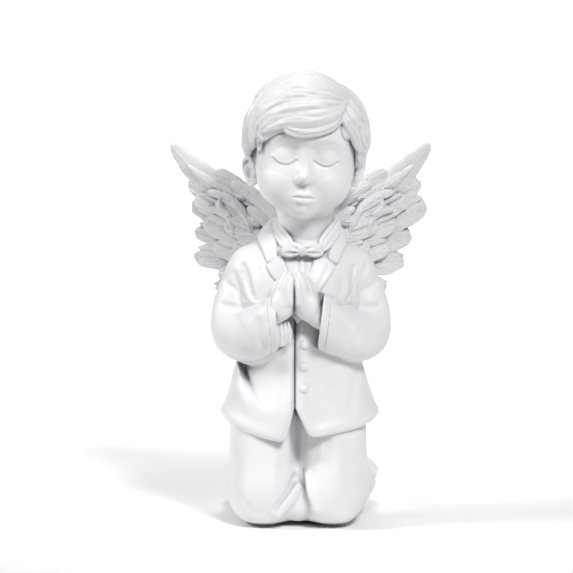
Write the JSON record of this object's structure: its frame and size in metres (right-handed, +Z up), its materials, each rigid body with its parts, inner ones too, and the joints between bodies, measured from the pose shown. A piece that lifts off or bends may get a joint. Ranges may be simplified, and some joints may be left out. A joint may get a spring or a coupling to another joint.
{
  "type": "angel figurine",
  "caption": "Kneeling boy angel in a suit jacket and bow tie, hands together in prayer, wings spread behind, cast in white satin resin on felt pads.",
  "frame": {"origin": "centre of the plan of the whole figure, on the surface that it stands on", "axes": "+Z up; the figure faces -Y; the figure's own left is +X"},
  "size_m": [0.0946, 0.0738, 0.16],
  "materials": {
    "resin": "satin white cast resin",
    "felt": "pressed white felt"
  },
  "bodies": {
    "root": {"trousers": "resin", "right_shoe": "resin", "left_shoe": "resin", "jacket": "resin", "right_sleeve": "resin", "left_sleeve": "resin", "right_cuff": "resin", "left_cuff": "resin", "right_hand": "resin", "left_hand": "resin", "shirt_front": "resin", "shirt_collar": "resin", "right_lapel": "resin", "left_lapel": "resin", "bow_tie": "resin", "jacket_buttons": "resin", "head": "resin", "right_ear": "resin", "left_ear": "resin", "hair": "resin", "right_wing": "resin", "left_wing": "resin", "felt_pads": "felt"}
  },
  "joints": []
}
